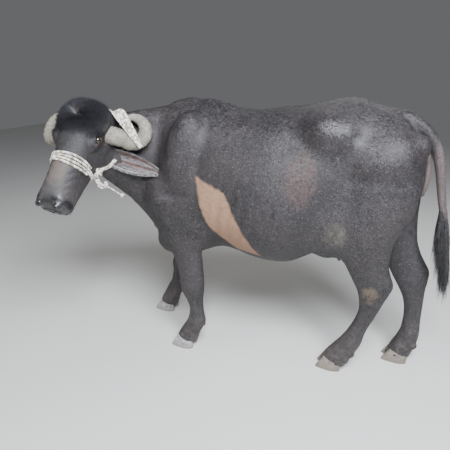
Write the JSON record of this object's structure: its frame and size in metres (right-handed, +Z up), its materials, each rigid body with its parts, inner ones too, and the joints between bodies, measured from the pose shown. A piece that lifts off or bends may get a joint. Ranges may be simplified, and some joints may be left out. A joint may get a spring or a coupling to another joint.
{
  "type": "water buffalo, still life-size model",
  "caption": "Dark curl-horned water buffalo standing with its head turned to its left, in a white rope halter.",
  "frame": {"origin": "centre of the whole model's box, on the floor that the hooves stand on", "axes": "+X towards the tail, -X the way the body faces, -Y the animal's left, which the head is turned to, +Z up"},
  "size_m": [2.1095, 0.9571, 1.3766],
  "materials": {
    "hide": "dark grey-brown skin with a sparse short coat and a soft sheen",
    "horn": "grey-beige horn with fine cross ridges, dull",
    "hoof": "worn grey horn, dusty",
    "eye": "wet, very dark brown",
    "hair": "coarse black hair",
    "rope": "off-white cotton rope, soft and a little soiled"
  },
  "bodies": {
    "root": {"ear_left": "hide", "ear_right": "hide", "eye_left": "eye", "eye_right": "eye", "halter_cheek_left": "rope", "halter_cheek_right": "rope", "halter_headpiece": "rope", "halter_noseband": "rope", "head": "hide", "hoof_fore_left_inner": "hoof", "hoof_fore_left_outer": "hoof", "hoof_fore_right_inner": "hoof", "hoof_fore_right_outer": "hoof", "hoof_hind_left_inner": "hoof", "hoof_hind_left_outer": "hoof", "hoof_hind_right_inner": "hoof", "hoof_hind_right_outer": "hoof", "horn_left": "horn", "horn_right": "horn", "leg_fore_left": "hide", "leg_fore_right": "hide", "leg_hind_left": "hide", "leg_hind_right": "hide", "neck": "hide", "tail": "hide", "tail_switch": "hair", "torso": "hide"}
  },
  "joints": []
}
